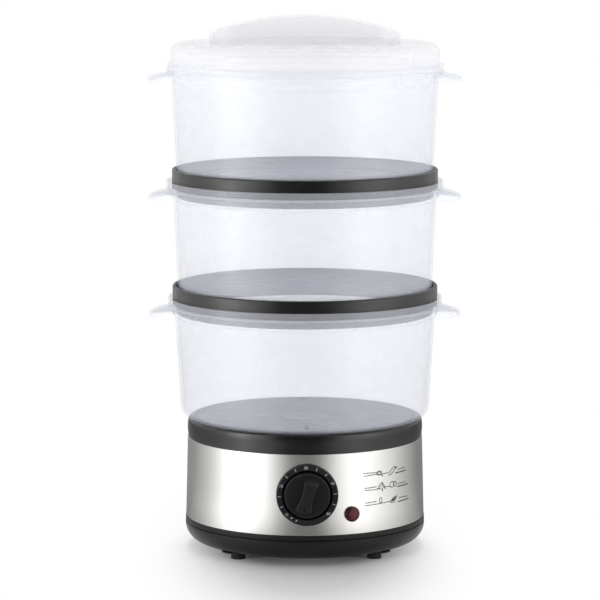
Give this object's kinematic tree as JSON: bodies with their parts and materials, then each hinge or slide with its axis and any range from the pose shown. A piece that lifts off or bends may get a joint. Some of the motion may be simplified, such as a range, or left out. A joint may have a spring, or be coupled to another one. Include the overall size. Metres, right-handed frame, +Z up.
{
  "type": "electric food steamer",
  "caption": "Countertop electric food steamer: steel-banded base with a mechanical timer, stacked round translucent bowls on black rings, and a domed-grip lid.",
  "frame": {"origin": "on the bowls' axis, at the height of the table under the feet", "axes": "+Z up along the bowls' axis, the timer knob faces -Y, the grip tabs point along +X and -X"},
  "size_m": [0.2384, 0.2116, 0.4074],
  "materials": {
    "milky_pp": "satin, milky translucent polypropylene",
    "black_satin_pp": "charcoal, satin moulded",
    "black_gloss_abs": "charcoal, glossy moulded",
    "brushed_stainless": "brushed round the band",
    "black_rubber": "matt",
    "zinc_steel": "zinc plated",
    "silicone": "matt",
    "stainless_sheet": "pressed, satin",
    "cast_aluminium": "as cast",
    "brass_sheet": "bright",
    "phenolic": "matt moulded",
    "black_dial_abs": "black, fine gloss",
    "cream_acetal": "satin",
    "red_lens": "dark red, polished",
    "clear_neon": "clear tube",
    "wire_insulation": "satin silicone sleeve"
  },
  "bodies": {
    "base": {"water_tank": "black_gloss_abs", "lower_housing": "black_gloss_abs", "bottom_cover": "black_satin_pp", "steel_band": "brushed_stainless", "feet": "black_rubber", "cord_gland": "black_rubber", "cover_screws": "zinc_steel", "heater_seal": "silicone", "heater_plate": "stainless_sheet", "heating_element": "cast_aluminium", "element_clamp": "zinc_steel", "clamp_nuts": "zinc_steel", "earth_tag": "brass_sheet", "thermostat": "phenolic", "thermal_fuse": "brass_sheet", "timer_bezel": "black_dial_abs", "timer_screws": "zinc_steel", "timer_front_plate": "zinc_steel", "timer_case": "zinc_steel", "timer_contacts": "phenolic", "timer_bell": "zinc_steel", "lamp_lens": "red_lens", "lamp_body": "clear_neon", "terminal_block": "cream_acetal", "wiring": "wire_insulation"},
    "dial": {"timer_knob": "black_dial_abs", "timer_shaft": "zinc_steel", "timer_cam": "cream_acetal"},
    "steam_ring": {"steam_ring": "black_satin_pp"},
    "drip_tray": {"drip_tray": "black_satin_pp"},
    "bowl_1": {"bowl_1": "milky_pp"},
    "stacking_ring_2": {"stacking_ring_2": "black_satin_pp"},
    "bowl_2": {"bowl_2": "milky_pp"},
    "stacking_ring_3": {"stacking_ring_3": "black_satin_pp"},
    "bowl_3": {"bowl_3": "milky_pp"},
    "lid": {"lid": "milky_pp"}
  },
  "joints": [
    {"name": "steam_ring_lift", "type": "slide", "parent": "base", "child": "steam_ring", "axis": [0, 0, 1], "range_m": [0, 0.1]},
    {"name": "drip_tray_lift", "type": "slide", "parent": "steam_ring", "child": "drip_tray", "axis": [0, 0, 1], "range_m": [0, 0.08]},
    {"name": "bowl_1_lift", "type": "slide", "parent": "drip_tray", "child": "bowl_1", "axis": [0, 0, 1], "range_m": [0, 0.12]},
    {"name": "stacking_ring_2_lift", "type": "slide", "parent": "bowl_1", "child": "stacking_ring_2", "axis": [0, 0, 1], "range_m": [0, 0.06]},
    {"name": "bowl_2_lift", "type": "slide", "parent": "stacking_ring_2", "child": "bowl_2", "axis": [0, 0, 1], "range_m": [0, 0.12]},
    {"name": "stacking_ring_3_lift", "type": "slide", "parent": "bowl_2", "child": "stacking_ring_3", "axis": [0, 0, 1], "range_m": [0, 0.06]},
    {"name": "bowl_3_lift", "type": "slide", "parent": "stacking_ring_3", "child": "bowl_3", "axis": [0, 0, 1], "range_m": [0, 0.12]},
    {"name": "lid_lift", "type": "slide", "parent": "bowl_3", "child": "lid", "axis": [0, 0, 1], "range_m": [0, 0.15]},
    {"name": "timer_turn", "type": "hinge", "parent": "base", "child": "dial", "pos_m": [0, -0.09, 0.0556], "axis": [0, 1, 0], "range_deg": [-152, 115.5]}
  ]
}
